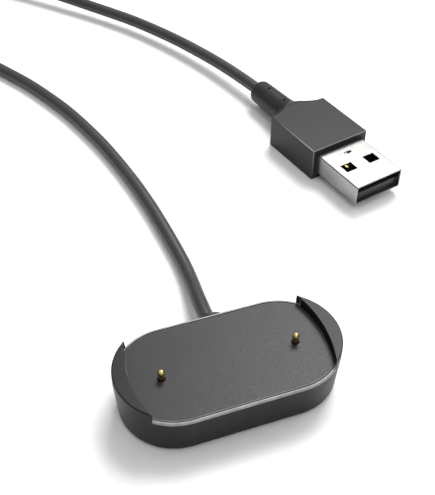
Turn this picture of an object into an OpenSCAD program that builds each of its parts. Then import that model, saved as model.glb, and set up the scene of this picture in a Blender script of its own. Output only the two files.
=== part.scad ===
// Charging dock for a wrist tracker, with its cable and USB type A plug.
// Millimetres. Origin under the middle of the dock, on the surface it stands on.
// +X runs along the dock, +Y to the side the cable leaves from, +Z up.

/* [Dock] */
// Length of the dock, over both lips
dock_l = 38.4; // [36:0.2:46]
// Width of the dock, which is the diameter of its round ends
dock_w = 20; // [18:0.2:24]
// Height of the deck that the tracker rests on
deck_h = 7.7; // [7.2:0.1:10]
// Height of the end lips above the deck
lip_h = 1.6; // [0.8:0.1:2.4]
// Width of each lip at its middle
lip_w = 2.5; // [1.8:0.1:3]
// Radius of the lips' inner walls, which the tracker's ends follow
lip_r = 23.6; // [20:0.2:40]
// How much the sides lean in from the deck to the foot
draft = 0.45; // [0.2:0.05:0.8]
// Radius of the edge round the underside
foot_edge_r = 0.8; // [0.4:0.1:1.2]
// Thickness of the side wall at the deck
wall = 1.5; // [1.2:0.1:1.8]
// Thickness of the floor
floor_t = 1.2; // [0.9:0.1:1.4]

/* [Tray] */
// Thickness of the tray that closes the top
tray_t = 1.6; // [1.2:0.1:2]
// Width of the rim of the shell outside the tray
rim_w = 0.6; // [0.4:0.05:0.9]
// Gap round the tray
tray_gap = 0.06; // [0.03:0.01:0.15]
// Width of the ledge under the tray's ends
ledge_w = 1.2; // [0.8:0.1:1.6]

/* [Foot pad] */
// Thickness of the pad
pad_t = 0.6; // [0.5:0.05:0.8]
// How far the pad stands out of the underside
pad_out = 0.3; // [0.2:0.05:0.4]
// Flat margin round the pad
pad_margin = 1.1; // [0.8:0.1:2]

/* [Contact pins] */
// Distance between the two pins
pin_pitch = 23.1; // [18:0.1:25]
// Offset of the pins from the middle of the deck, towards the front
pin_back = 0.4; // [0:0.1:1]
// Diameter of the pin
pin_d = 1.2; // [1:0.05:1.45]
// Height of the pin's tip above the deck
pin_out = 2; // [1.4:0.1:2.4]
// Travel of the pin when the tracker presses it in
pin_travel = 1.2; // [0.8:0.1:1.3]
// Radial running clearance of the pin in its barrel
pin_gap = 0.04; // [0.02:0.01:0.08]
// Thickness of the collar that stops the pin
collar_t = 0.4; // [0.3:0.05:0.5]
// How far the collar stands out round the pin
collar_w = 0.16; // [0.12:0.01:0.2]
// Wall of the barrel
barrel_wall = 0.3; // [0.25:0.01:0.4]
// Wire of the spring
spring_wire = 0.2; // [0.15:0.01:0.25]

/* [Contact board] */
// Length of the board
board_l = 27.6; // [25:0.2:28]
// Width of the board
board_w = 9; // [7:0.2:10]
// Thickness of the board
board_t = 0.8; // [0.6:0.1:1]
// Height of the board's top face
board_top = 3; // [2.8:0.1:3.6]
// Distance between the two screws
screw_pitch = 5.2; // [4.8:0.1:6]
// Diameter of the screw's shank
screw_d = 1; // [0.8:0.1:1.2]
// Length of the screw's shank
screw_l = 2.8; // [2:0.1:3]

/* [Magnets] */
// Distance between the two magnets
magnet_pitch = 14; // [13.6:0.1:14.6]
// Length of each magnet, across the dock
magnet_l = 9; // [7:0.2:10]
// Width of each magnet, along the dock
magnet_w = 4.4; // [3.6:0.1:4.8]
// Thickness of each magnet
magnet_t = 1.9; // [1.5:0.1:2.2]

/* [Cable] */
// Diameter of the cable
cable_d = 2.8; // [2.6:0.1:3]
// Place of the cable's outlet along the dock
exit_x = 0.7; // [-2:0.1:2]
// Height of the cable's outlet
exit_z = 3.8; // [3.6:0.1:4]
// How far the outlet's sleeve stands out of the dock
sleeve_out = 2.6; // [2:0.1:4]
// Diameter of one insulated wire in the cable
wire_d = 0.8; // [0.6:0.05:0.9]
// Diameter of the coil at the middle of its turns
coil_mid_d = 31; // [27:0.5:31]
// Width of the wound turns, side by side
coil_w = 13.2; // [12:0.2:14]
// Height of the wound turns
coil_h = 5.7; // [5.7:0.1:6.2]
// Thickness of the strap that ties the coil
tie_t = 0.5; // [0.4:0.05:0.8]
// Width of the strap that ties the coil
tie_w = 6; // [4:0.5:10]

/* [Plug] */
// Length of the square grip
grip_l = 15.2; // [14:0.2:18]
// Width of the grip
grip_w = 14.4; // [14:0.2:16]
// Height of the grip
grip_h = 7.5; // [7.2:0.1:8]
// Diameter of the strain relief at the grip
relief_d = 5.9; // [5:0.1:6.4]
// Diameter of the strain relief at its end
relief_end_d = 5.5; // [4.8:0.1:5.7]
// Length of the strain relief behind the sweep
relief_l = 11; // [9.2:0.2:14]
// Width of the metal shell, which the standard sets
shell_w = 12; // [11.9:0.1:12.1]
// Height of the metal shell, which the standard sets
shell_h = 4.5; // [4.4:0.1:4.6]
// Thickness of the shell's sheet
sheet_t = 0.3; // [0.25:0.01:0.4]
// Length of the shell in front of the grip
shell_out = 13; // [11.8:0.1:14]
// Length of the shell inside the grip
shell_in = 5; // [4:0.1:6]
// Length of each window in the shell, along the plug
window_l = 2.5; // [1.8:0.1:2.8]
// Width of each window in the shell, across the plug
window_w = 2.8; // [2:0.1:3]
// Distance between the two windows' middles
window_pitch = 6; // [5:0.1:6.4]
// Distance of the windows' middles from the shell's tip
window_back = 6.35; // [5:0.05:7]

/* [Hidden] */

$fn = 64;
fit_gap = 0.05;
over = 1;

// Dock
end_x = dock_l / 2 - dock_w / 2;
side_r = dock_w / 2;
foot_r = side_r - draft;
top_h = deck_h + lip_h;
lip_x = dock_l / 2 - lip_w;
lip_off = lip_r - lip_x;
under_z = pad_out;
floor_z = under_z + floor_t;
ledge_z = deck_h - tray_t;
cavity_inset = wall + draft;
pad_inset = draft + foot_edge_r + pad_margin;

// Contact pins and their barrels
pin_x = pin_pitch / 2;
pin_y = -pin_back;
tip_z = deck_h + pin_out;
barrel_sink = 0.8;
barrel_top = deck_h - barrel_sink;
neck_l = 0.6;
collar_top = barrel_top - neck_l;
collar_d = pin_d + 2 * collar_w;
chamber_d = collar_d + 2 * pin_gap;
barrel_d = chamber_d + 2 * barrel_wall;
barrel_floor = 0.3;
chamber_z = board_top + barrel_floor;
tail_d = 0.8;
tail_out = 0.6;
spring_top = collar_top - collar_t;
spring_r = (collar_d - spring_wire) / 2 - pin_gap;
spring_turns = 4;
spring_end = 0.6 * spring_wire;
shaft_out = 0.9;
waist_cut = 0.2;
hole_gap = 0.15;
solder_in = 0.3;
solder_out = 1;
solder_h = 0.5;

// Board, screws and magnets
board_z = board_top - board_t;
screw_x = screw_pitch / 2;
screw_head_d = 2;
screw_head_t = 0.6;
slot_l = 1.2;
slot_w = 0.24;
slot_depth = 0.3;
post_d = 2.6;
part_xs = [-4.6, -2.6, 2.8];
part_size = [1.6, 0.8, 0.6];
part_in = 2.6;
magnet_x = magnet_pitch / 2;
pocket_wall = 0.5;
pocket_depth = 1.2;

// Outlet sleeve and cable
cable_r = cable_d / 2;
wall_in_y = side_r - cavity_inset;
seat_depth = 0.3;
seat_y = side_r - seat_depth;
flange_d = cable_d + 1.4;
flange_t = 0.8;
neck_d = cable_d + 0.9;
neck_gap = 0.02;
flare_d = cable_d + 3.6;
shoulder_l = 1.4;
shoulder_cut = 0.3;
waist_out = 0.3;
waist_l = 0.5;
sleeve_end_r = cable_r + 0.3;
sleeve_end_y = side_r + sleeve_out;
wire_r = wire_d / 2;
lead_gap = 0.1;
lead_split = 0.5;
lead_spread = 1;
lead_straight = 0.8;

// Coil
coil_c = [-37, 149];
coil_z = tie_t;
tie_x = coil_c[0] - coil_mid_d / 2;
coil_in_r = coil_mid_d / 2 - coil_w / 2;

// Plug: its front face's middle, and the turn that points its nose
plug_at = [43.5, 48.2];
plug_turn = -77;
plug_z = grip_h / 2;
sweep_r = (grip_w - relief_d) / 2;
sweep_step = 0.4;
relief_z = -grip_l - sweep_r;
relief_round = 1.3;
notch_size = [0.6, 0.5, 1.6];
notch_first = 0.6;
notch_pitch = 6;
notch_turn = 2;
tongue_h = 1.9;
tongue_back = 0.8;
contact_t = 0.2;
contact_w = 1;
contact_xs = [3.5, 1, -1, -3.5];
contact_tail = 2;
outer_back = 1;
inner_back = 2;
tongue_low = -shell_h / 2 + sheet_t;
tongue_top = tongue_low + tongue_h;
core_l = 7.5;
core_back = -shell_in - core_l;
core_slot_w = 9;
solder_back = 1.1;

// The cable's routes, by hand: from inside the dock to the coil, and from the grip to the coil
dock_route = [[0.7, 6.4, 3.8], [0.7, 10.3, 3.8], [0.7, 12.6, 3.8], [1.1, 18.6, 3], [1.6, 23.5, 2.1],
    [1.9, 28.5, 1.6], [1.8, 34, 1.45], [1.4, 41.5, 1.45], [0.8, 49, 1.45], [-0.2, 57, 1.45],
    [-1.5, 64.8, 1.45], [-3.1, 72.5, 1.45], [-5.2, 80.3, 1.45], [-7.6, 87.8, 1.45],
    [-10.6, 95.2, 1.45], [-14, 102.5, 1.45], [-18, 109.6, 1.45], [-21.6, 115.6, 1.5],
    [-25.5, 121.6, 1.6], [-30.4, 126.4, 1.8], [-37, 128.3, 1.9]];
plug_route = [[40.7, 60.5, 3.75], [38.6, 69.5, 3.75], [36.5, 78.5, 3.75], [34.6, 85.4, 3.6],
    [32.3, 92.6, 3.4], [29.4, 100.1, 3.2], [26, 107.6, 3.1], [22.2, 114.8, 3], [18.1, 121.5, 3],
    [13.7, 127.6, 3], [9, 133.6, 3.1], [4.2, 139.4, 3.3], [-3.5, 148.4, 3.7], [-11.2, 157.1, 4.1],
    [-16.9, 162.4, 4.4], [-23.3, 166.4, 4.6], [-30.4, 168.9, 4.7], [-38, 169.8, 4.75]];

// ---- helpers -------------------------------------------------------------------------------

// A point of the smooth curve through a route, a share t of the way from point i to the next
function route_at(p, i, t) =
    let (a = p[max(i - 1, 0)], b = p[i], c = p[min(i + 1, len(p) - 1)], d = p[min(i + 2, len(p) - 1)])
    b + (c - a) * (t / 2) + (2 * a - 5 * b + 4 * c - d) * (t * t / 2)
      + (3 * b - a - 3 * c + d) * (t * t * t / 2);

// The route with a point added in the middle of each stretch
function smooth_route(p) =
    [for (i = [0 : len(p) - 2], t = [0, 0.5]) route_at(p, i, t), p[len(p) - 1]];

function unit(v) = v / norm(v);

// The direction of a path at its point i
function heading(p, i) = unit(p[min(i + 1, len(p) - 1)] - p[max(i - 1, 0)]);

// A ring of points round a path's point i
function ring(p, i, r, sides) =
    let (h = heading(p, i), s = unit(cross(h, [0, 0, 1])), u = cross(s, h))
    [for (k = [0 : sides - 1]) p[i] + r * (cos(360 * k / sides) * s + sin(360 * k / sides) * u)];

// A round tube with flat ends, swept along a path
module tube(path, r, sides) {
    n = len(path);
    points = [for (i = [0 : n - 1]) each ring(path, i, r, sides)];
    walls = [for (i = [0 : n - 2], k = [0 : sides - 1])
        let (a = i * sides + k, b = i * sides + (k + 1) % sides)
        [a, a + sides, b + sides, b]];
    ends = [[for (k = [0 : sides - 1]) k],
        [for (k = [sides - 1 : -1 : 0]) (n - 1) * sides + k]];
    polyhedron(points = points, faces = concat(walls, ends), convexity = 8);
}

// Two round ends joined by a straight middle
module stadium(r) {
    translate([-end_x, -r]) square([2 * end_x, 2 * r]);
    translate([end_x, 0]) circle(r);
    translate([-end_x, 0]) circle(r);
}

// The deck's outline: round ends cut by the two lip walls
module deck_plan(side_inset, end_inset) {
    intersection() {
        stadium(side_r - side_inset);
        translate([lip_off, 0]) circle(lip_r - end_inset, $fn = 128);
        translate([-lip_off, 0]) circle(lip_r - end_inset, $fn = 128);
    }
}

// Half of the dock's upright section, from its middle out
module dock_section() {
    polygon([[0, under_z], [foot_r - foot_edge_r, under_z], [foot_r, under_z + foot_edge_r],
        [side_r, deck_h], [side_r, top_h], [0, top_h]]);
    translate([foot_r - foot_edge_r, under_z + foot_edge_r]) circle(foot_edge_r);
}

// The dock's outer form: two turned ends and a straight middle
module dock_form() {
    for (x = [-end_x, end_x]) translate([x, 0, 0])
        rotate_extrude() intersection() {
            dock_section();
            square([side_r + over, top_h + over]);
        }
    translate([-end_x, 0, 0]) rotate([90, 0, 90]) linear_extrude(2 * end_x) {
        dock_section();
        mirror([1, 0]) dock_section();
    }
}

module at_pin(side) {
    translate([side * pin_x, pin_y, 0]) children();
}

// Turns a shape drawn along +Z so that it runs back along the cable's outlet
module at_outlet() {
    translate([exit_x, 0, exit_z]) rotate([-90, 0, 0]) children();
}

// Places plug pieces: they are drawn with their nose along +X and their middle at height 0
module at_plug() {
    translate([plug_at[0], plug_at[1], plug_z]) rotate(plug_turn) children();
}

// A block given by its back and front ends, its width and its lowest and highest faces
module bar(back, front, width, low, high) {
    translate([back, -width / 2, low]) cube([front - back, width, high - low]);
}

// ---- dock ----------------------------------------------------------------------------------

module base_shell() {
    color("#3c3d40") difference() {
        dock_form();
        translate([0, 0, deck_h]) linear_extrude(lip_h + over) deck_plan(-over, 0);
        translate([0, 0, ledge_z]) linear_extrude(tray_t + over) deck_plan(rim_w - tray_gap, 0);
        translate([0, 0, floor_z]) linear_extrude(deck_h) deck_plan(cavity_inset, ledge_w);
        translate([0, 0, under_z - over]) linear_extrude(pad_t - pad_out + over)
            stadium(side_r - pad_inset + fit_gap);
        at_outlet() cylinder(d = neck_d, h = side_r + over);
        at_outlet() translate([0, 0, seat_y]) cylinder(d = flare_d + 2 * fit_gap, h = side_r);
    }
}

// The tray, with its pin holes, its screw posts and the pockets that hold the magnets
module top_tray() {
    color("#58595b") difference() {
        union() {
            translate([0, 0, ledge_z]) linear_extrude(tray_t) deck_plan(rim_w, tray_gap);
            for (side = [-1, 1]) {
                translate([side * screw_x, pin_y, board_top])
                    cylinder(d = post_d, h = ledge_z - board_top + fit_gap);
                translate([side * magnet_x - magnet_w / 2 - pocket_wall,
                        pin_y - magnet_l / 2 - pocket_wall, ledge_z - pocket_depth])
                    cube([magnet_w + 2 * pocket_wall, magnet_l + 2 * pocket_wall, pocket_depth + fit_gap]);
            }
        }
        for (side = [-1, 1]) {
            translate([side * magnet_x - magnet_w / 2, pin_y - magnet_l / 2, ledge_z - pocket_depth - over])
                cube([magnet_w, magnet_l, pocket_depth + over]);
            translate([side * screw_x, pin_y, board_top - over]) cylinder(d = screw_d, h = screw_l + over);
            at_pin(side) translate([0, 0, ledge_z - over])
                cylinder(d = barrel_d + fit_gap, h = barrel_top - ledge_z + over);
            at_pin(side) cylinder(d = pin_d + 2 * hole_gap, h = top_h);
        }
    }
}

module foot_pad() {
    color("#2b2b2d") linear_extrude(pad_t) stadium(side_r - pad_inset);
}

// ---- contact board -------------------------------------------------------------------------

module contact_board() {
    color("#1d5a34") difference() {
        translate([-board_l / 2, pin_y - board_w / 2, board_z]) cube([board_l, board_w, board_t]);
        for (side = [-1, 1]) {
            at_pin(side) cylinder(d = tail_d + fit_gap, h = top_h);
            translate([side * screw_x, pin_y, 0]) cylinder(d = screw_d + 2 * fit_gap, h = top_h);
        }
    }
}

// A fuse and two small capacitors on the board's top face
module board_parts() {
    color("#a8937c") for (x = part_xs)
        translate([x, pin_y + board_w / 2 - part_in, board_top]) cube(part_size);
}

module board_screws() {
    color("#b9bcc0") for (side = [-1, 1]) translate([side * screw_x, pin_y, 0]) difference() {
        union() {
            translate([0, 0, board_z - screw_head_t]) cylinder(d = screw_head_d, h = screw_head_t);
            translate([0, 0, board_z - fit_gap]) cylinder(d = screw_d, h = screw_l);
        }
        for (turn = [0, 90]) rotate(turn)
            translate([-slot_l / 2, -slot_w / 2, board_z - screw_head_t - over])
                cube([slot_l, slot_w, over + slot_depth]);
    }
}

module pin_barrel(side) {
    color("#d8b35a") at_pin(side) difference() {
        union() {
            translate([0, 0, board_top]) cylinder(d = barrel_d, h = barrel_top - board_top);
            translate([0, 0, board_z - tail_out]) cylinder(d = tail_d, h = board_t + tail_out + fit_gap);
        }
        translate([0, 0, chamber_z]) cylinder(d = chamber_d, h = collar_top - chamber_z);
        translate([0, 0, chamber_z]) cylinder(d = pin_d + 2 * pin_gap, h = top_h);
    }
}

module pin_barrel_left() { pin_barrel(-1); }
module pin_barrel_right() { pin_barrel(1); }

// The wire's middle line, from the chamber's floor to the collar
function spring_path(low, high) =
    [for (k = [0 : 12 * spring_turns]) let (a = 30 * k, s = k / (12 * spring_turns))
        [spring_r * cos(a), spring_r * sin(a), low + (high - low) * s]];

module pin_spring(side) {
    color("#c9ccd0") at_pin(side)
        tube(spring_path(chamber_z + spring_end, spring_top - spring_end), spring_wire / 2, 6);
}

module pin_spring_left() { pin_spring(-1); }
module pin_spring_right() { pin_spring(1); }

// The moving pin: a ball tip on a narrower waist, a shaft, and the collar that stops it
module pin_plunger(side) {
    ball_z = tip_z - pin_d / 2;
    color("#d8b35a") at_pin(side) {
        translate([0, 0, ball_z]) sphere(d = pin_d);
        translate([0, 0, collar_top - fit_gap])
            cylinder(d = pin_d, h = deck_h + shaft_out - collar_top + fit_gap);
        translate([0, 0, collar_top]) cylinder(d = pin_d - waist_cut, h = ball_z - collar_top);
        translate([0, 0, spring_top]) cylinder(d = collar_d, h = collar_t);
    }
}

module pin_plunger_left() { pin_plunger(-1); }
module pin_plunger_right() { pin_plunger(1); }

module pin_solder() {
    color("#b9bcc0") for (side = [-1, 1]) at_pin(side) difference() {
        translate([0, 0, board_z - solder_h])
            cylinder(d1 = tail_d + solder_in, d2 = tail_d + solder_out, h = solder_h);
        cylinder(d = tail_d, h = top_h);
    }
}

module magnet(side) {
    color("#8d9094") translate([side * magnet_x - magnet_w / 2, pin_y - magnet_l / 2, ledge_z - magnet_t])
        cube([magnet_w, magnet_l, magnet_t]);
}

module magnet_left() { magnet(-1); }
module magnet_right() { magnet(1); }

// A wire's path from a start to an end, straight along one direction at both
function lead_path(start, end, along) =
    let (step = lead_straight * along)
    [start, start + step, (start + end) / 2, end - step, end];

// One insulated wire from the cable's end down to its pad on the board
module dock_lead(side) {
    start = [exit_x + side * lead_split, dock_route[0][1] - lead_gap, exit_z];
    end = [exit_x + side * lead_spread, pin_y + board_w / 2 - solder_back, board_top + wire_r];
    tube(lead_path(start, end, [0, -1, 0]), wire_r, 8);
}

module dock_lead_red() { color("#b3262a") dock_lead(-1); }
module dock_lead_black() { color("#1c1c1e") dock_lead(1); }

// ---- cable ---------------------------------------------------------------------------------

// The sleeve where the cable leaves: a flange inside the wall, a neck, and a wide foot outside
module outlet_sleeve() {
    color("#3c3d40") at_outlet() rotate_extrude() difference() {
        union() {
            translate([0, wall_in_y - flange_t]) square([flange_d / 2, flange_t]);
            translate([0, wall_in_y - fit_gap])
                square([neck_d / 2 - neck_gap, seat_y - wall_in_y + 2 * fit_gap]);
            translate([0, seat_y]) square([flare_d / 2, side_r - seat_y]);
            polygon([[0, side_r], [flare_d / 2, side_r], [flare_d / 2 - shoulder_cut, side_r + shoulder_l],
                [sleeve_end_r + waist_out, sleeve_end_y - waist_l], [sleeve_end_r, sleeve_end_y],
                [0, sleeve_end_y]]);
        }
        square([cable_r + fit_gap, 2 * side_r]);
    }
}

module cable_dock_run() { color("#424346") tube(smooth_route(dock_route), cable_r, 8); }
module cable_plug_run() { color("#424346") tube(smooth_route(plug_route), cable_r, 8); }

// The wound part of the cable, as one ring that holds all the turns
module cable_coil() {
    color("#424346") translate([coil_c[0], coil_c[1], coil_z]) rotate_extrude($fn = 128)
        translate([coil_in_r, 0]) square([coil_w, coil_h]);
}

// A strap round the turns, on the side away from the dock's cable
module coil_tie() {
    color("#2b2b2d") translate([tie_x, coil_c[1], 0]) difference() {
        translate([-coil_w / 2 - 2 * tie_t, -tie_w / 2, 0])
            cube([coil_w + 4 * tie_t, tie_w, coil_h + 2 * tie_t]);
        translate([-coil_w / 2 - tie_t, -tie_w / 2 - over, tie_t])
            cube([coil_w + 2 * tie_t, tie_w + 2 * over, coil_h]);
    }
}

// ---- plug ----------------------------------------------------------------------------------

// The grip: a square block that sweeps in to the strain relief, hollow for the core and the shell
module plug_grip() {
    color("#58595b") at_plug() difference() {
        union() {
            bar(-grip_l, 0, grip_w, -grip_h / 2, grip_h / 2);
            difference() {
                bar(relief_z, -grip_l + fit_gap, grip_w - 2 * sweep_step, -grip_h / 2, grip_h / 2);
                for (side = [-1, 1]) translate([relief_z, side * (relief_d / 2 + sweep_r), -grip_h])
                    cylinder(r = sweep_r, h = 2 * grip_h);
            }
        }
        bar(core_back, -shell_in, shell_w, -shell_h / 2, shell_h / 2);
        bar(-shell_in - fit_gap, over, shell_w, -shell_h / 2, shell_h / 2);
        translate([relief_z - over, 0, 0]) rotate([0, 90, 0])
            cylinder(r = cable_r + fit_gap, h = core_back - relief_z + 2 * over);
    }
}

// The tapered strain relief, with two small bending notches above and two below
module plug_relief() {
    color("#58595b") at_plug() difference() {
        translate([relief_z, 0, 0]) rotate([0, -90, 0]) rotate_extrude() difference() {
            union() {
                polygon([[0, 0], [relief_d / 2, 0], [relief_end_d / 2, relief_l - relief_round],
                    [relief_end_d / 2 - relief_round, relief_l], [0, relief_l]]);
                translate([relief_end_d / 2 - relief_round, relief_l - relief_round])
                    circle(relief_round);
            }
            translate([0, -over]) square([cable_r + fit_gap, relief_l + 2 * over]);
            mirror([1, 0]) square([relief_d, relief_l + over]);
        }
        for (side = [0, 180], k = [0, 1]) translate([relief_z - notch_first - notch_pitch * k, 0, 0])
            rotate([notch_turn + side, 0, 0]) translate([0, 0, relief_d / 2])
                cube(notch_size, center = true);
    }
}

// The folded metal shell, with two square windows in each wide face
module plug_shell() {
    color("#e2e3e5") at_plug() difference() {
        bar(-shell_in, shell_out, shell_w, -shell_h / 2, shell_h / 2);
        bar(-shell_in - over, shell_out + over, shell_w - 2 * sheet_t, -shell_h / 2 + sheet_t,
            shell_h / 2 - sheet_t);
        for (side = [-1, 1]) translate([shell_out - window_back, side * window_pitch / 2, 0])
            cube([window_l, window_w, 2 * shell_h], center = true);
    }
}

// The plastic tongue that carries the contacts in the lower half of the shell
module plug_tongue() {
    color("#2a2a2c") at_plug() difference() {
        bar(-shell_in, shell_out - tongue_back, shell_w - 2 * sheet_t, tongue_low, tongue_top);
        for (y = contact_xs) translate([0, y, 0]) contact_strip(y, 0);
    }
}

// One contact: a strip let into the tongue's top face, with a tail behind it. The outer two are longer
module contact_strip(y, tail) {
    outer = abs(y) == max(contact_xs);
    front = shell_out - tongue_back - (outer ? outer_back : inner_back);
    bar(-shell_in - tail, front, contact_w, tongue_top - contact_t, tongue_top);
}

module contact(i) {
    color("#d8b35a") at_plug() translate([0, contact_xs[i], 0]) contact_strip(contact_xs[i], contact_tail);
}

module contact_power() { contact(3); }
module contact_data_minus() { contact(2); }
module contact_data_plus() { contact(1); }
module contact_ground() { contact(0); }

// The hard block moulded round the solder joints, behind the shell
module plug_core() {
    color("#d7d3c8") at_plug() difference() {
        bar(core_back, -shell_in, shell_w, -shell_h / 2, shell_h / 2);
        for (y = contact_xs) translate([0, y, 0])
            bar(-shell_in - contact_tail, -shell_in + over, contact_w, tongue_top - contact_t, tongue_top);
        bar(core_back - over, -shell_in - contact_tail / 2, core_slot_w, tongue_top,
            tongue_top + wire_d + 2 * lead_gap);
    }
}

// One insulated wire from the cable's end to its contact's tail
module plug_lead(y) {
    z = tongue_top + wire_r;
    start = [core_back + lead_gap, sign(y) * lead_split, z];
    at_plug() tube(lead_path(start, [-shell_in - solder_back, y, z], [1, 0, 0]), wire_r, 8);
}

module plug_lead_red() { color("#b3262a") plug_lead(contact_xs[3]); }
module plug_lead_black() { color("#1c1c1e") plug_lead(contact_xs[0]); }

// ---- nodes ---------------------------------------------------------------------------------

base_shell();
top_tray();
foot_pad();
contact_board();
board_parts();
board_screws();
pin_barrel_left();
pin_barrel_right();
pin_spring_left();
pin_spring_right();
pin_plunger_left();
pin_plunger_right();
magnet_left();
magnet_right();
pin_solder();
dock_lead_red();
dock_lead_black();
outlet_sleeve();
cable_dock_run();
cable_coil();
cable_plug_run();
coil_tie();
plug_grip();
plug_relief();
plug_shell();
plug_tongue();
contact_power();
contact_data_minus();
contact_data_plus();
contact_ground();
plug_core();
plug_lead_red();
plug_lead_black();
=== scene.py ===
# %% [markdown]
# # A charging dock with its cable and plug
# The real object is a small desk dock for a wrist tracker: an oval cradle with two raised lips and two
# gold contact pins, a thin cable, and a USB type A plug. The imported CAD model already has every part at
# its true size, so this lesson only makes the surfaces and the finishes. We load that model as a fixed
# frame and take sizes from its parts wherever we can.

# %% Load the frame
import math

import bmesh
import bpy
from mathutils import Matrix, Quaternion, Vector


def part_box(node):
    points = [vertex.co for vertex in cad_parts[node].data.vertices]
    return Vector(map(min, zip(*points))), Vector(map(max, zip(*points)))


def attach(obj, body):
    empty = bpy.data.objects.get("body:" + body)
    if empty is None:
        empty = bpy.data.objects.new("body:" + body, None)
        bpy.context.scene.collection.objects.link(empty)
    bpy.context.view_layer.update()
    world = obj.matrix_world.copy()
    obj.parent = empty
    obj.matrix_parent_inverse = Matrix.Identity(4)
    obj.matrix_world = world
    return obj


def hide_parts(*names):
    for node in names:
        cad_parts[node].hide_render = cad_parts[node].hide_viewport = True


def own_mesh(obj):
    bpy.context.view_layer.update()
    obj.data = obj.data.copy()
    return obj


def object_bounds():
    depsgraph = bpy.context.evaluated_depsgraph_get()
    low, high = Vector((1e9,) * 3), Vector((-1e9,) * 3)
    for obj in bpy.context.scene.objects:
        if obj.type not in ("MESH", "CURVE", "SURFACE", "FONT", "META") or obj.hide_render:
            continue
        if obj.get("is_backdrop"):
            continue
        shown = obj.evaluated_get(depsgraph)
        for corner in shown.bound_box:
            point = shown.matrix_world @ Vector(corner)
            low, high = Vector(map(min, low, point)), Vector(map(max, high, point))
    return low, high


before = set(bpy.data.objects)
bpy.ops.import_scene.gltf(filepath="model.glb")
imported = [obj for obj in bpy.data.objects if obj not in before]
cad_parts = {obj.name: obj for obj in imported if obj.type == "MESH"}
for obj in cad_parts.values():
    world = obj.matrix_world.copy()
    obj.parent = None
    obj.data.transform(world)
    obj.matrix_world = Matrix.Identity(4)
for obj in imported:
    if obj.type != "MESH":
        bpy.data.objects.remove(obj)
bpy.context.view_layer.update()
scene = bpy.context.scene
MM = 0.001

# %% [markdown]
# ## The camera
# A small product is best seen through a long lens, which keeps the dock's outline from flaring. The
# camera is described by the point that it looks at, the two angles round that point, a slight roll
# and a distance. We place it first, because the cable's coil has to lie outside its view.

# %% Place the camera
AIM = Vector((10.17, 33.16, 0)) * MM
DISTANCE = 171.8 * MM
AZIMUTH, ELEVATION, ROLL = (math.radians(a) for a in (-20.4, 42.75, 0.59))

back = Vector((math.sin(AZIMUTH) * math.cos(ELEVATION),
               -math.cos(AZIMUTH) * math.cos(ELEVATION), math.sin(ELEVATION)))
camera_data = bpy.data.cameras.new("camera")
camera_data.sensor_fit = "HORIZONTAL"
camera_data.sensor_width = 36
camera_data.lens = 72.2
camera_data.clip_start = 5 * MM
camera = bpy.data.objects.new("camera", camera_data)
scene.collection.objects.link(camera)
camera.location = AIM + DISTANCE * back
camera.rotation_mode = "QUATERNION"
camera.rotation_quaternion = (-back).to_track_quat("-Z", "Y") @ Quaternion((0, 0, 1), ROLL)
scene.camera = camera
print("camera stands at", [round(x / MM, 1) for x in camera.location], "mm")

# %% [markdown]
# ## The cable's line
# A cable is a fixed length of something flexible, so we settle its line before its skin. The two loose
# runs are lists of points, in millimetres, and the same lists drive the CAD. The middle
# is a storage coil: a flat spiral inwards, a short climb, and a second spiral outwards on top of it,
# with each turn a little more than one cable away from the next.

# %% The listed runs, in millimetres
DOCK_RUN = [[0.7, 6.4, 3.8], [0.7, 10.3, 3.8], [0.7, 12.6, 3.8], [1.1, 18.6, 3], [1.6, 23.5, 2.1],
            [1.9, 28.5, 1.6], [1.8, 34, 1.45], [1.4, 41.5, 1.45], [0.8, 49, 1.45], [-0.2, 57, 1.45],
            [-1.5, 64.8, 1.45], [-3.1, 72.5, 1.45], [-5.2, 80.3, 1.45], [-7.6, 87.8, 1.45],
            [-10.6, 95.2, 1.45], [-14, 102.5, 1.45], [-18, 109.6, 1.45], [-21.6, 115.6, 1.5],
            [-25.5, 121.6, 1.6], [-30.4, 126.4, 1.8], [-37, 128.3, 1.9]]
PLUG_RUN = [[40.7, 60.5, 3.75], [38.6, 69.5, 3.75], [36.5, 78.5, 3.75], [34.6, 85.4, 3.6],
            [32.3, 92.6, 3.4], [29.4, 100.1, 3.2], [26, 107.6, 3.1], [22.2, 114.8, 3],
            [18.1, 121.5, 3], [13.7, 127.6, 3], [9, 133.6, 3.1], [4.2, 139.4, 3.3],
            [-3.5, 148.4, 3.7], [-11.2, 157.1, 4.1], [-16.9, 162.4, 4.4], [-23.3, 166.4, 4.6],
            [-30.4, 168.9, 4.7]]
CABLE_EXIT = Vector(DOCK_RUN[2]) * MM
CABLE_D = 2.8

# %% The coil's turns, worked out by a loop
COIL_AT = (-37, 149)
COIL_OUTER_R, COIL_INNER_R = 20.7, 10.3
COIL_LOW_Z, COIL_HIGH_Z = 1.9, 4.75
LAYER_TURNS, CLIMB_TURNS = 3.625, 0.25
STEPS_PER_TURN = 24


def coil_points():
    """Points down the wound cable: in along the floor, up, and out again on top, clockwise."""
    total = 2 * LAYER_TURNS + CLIMB_TURNS
    steps = round(total * STEPS_PER_TURN)
    points = []
    for k in range(1, steps + 1):
        turn = total * k / steps
        inward = min(turn, LAYER_TURNS) / LAYER_TURNS
        outward = max(turn - LAYER_TURNS - CLIMB_TURNS, 0) / LAYER_TURNS
        climb = min(max(turn - LAYER_TURNS, 0) / CLIMB_TURNS, 1)
        radius = COIL_OUTER_R + (COIL_INNER_R - COIL_OUTER_R) * (inward - outward)
        angle = math.radians(270 - 360 * turn)
        points.append([COIL_AT[0] + radius * math.cos(angle), COIL_AT[1] + radius * math.sin(angle),
                       COIL_LOW_Z + (COIL_HIGH_Z - COIL_LOW_Z) * climb])
    return points


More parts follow.
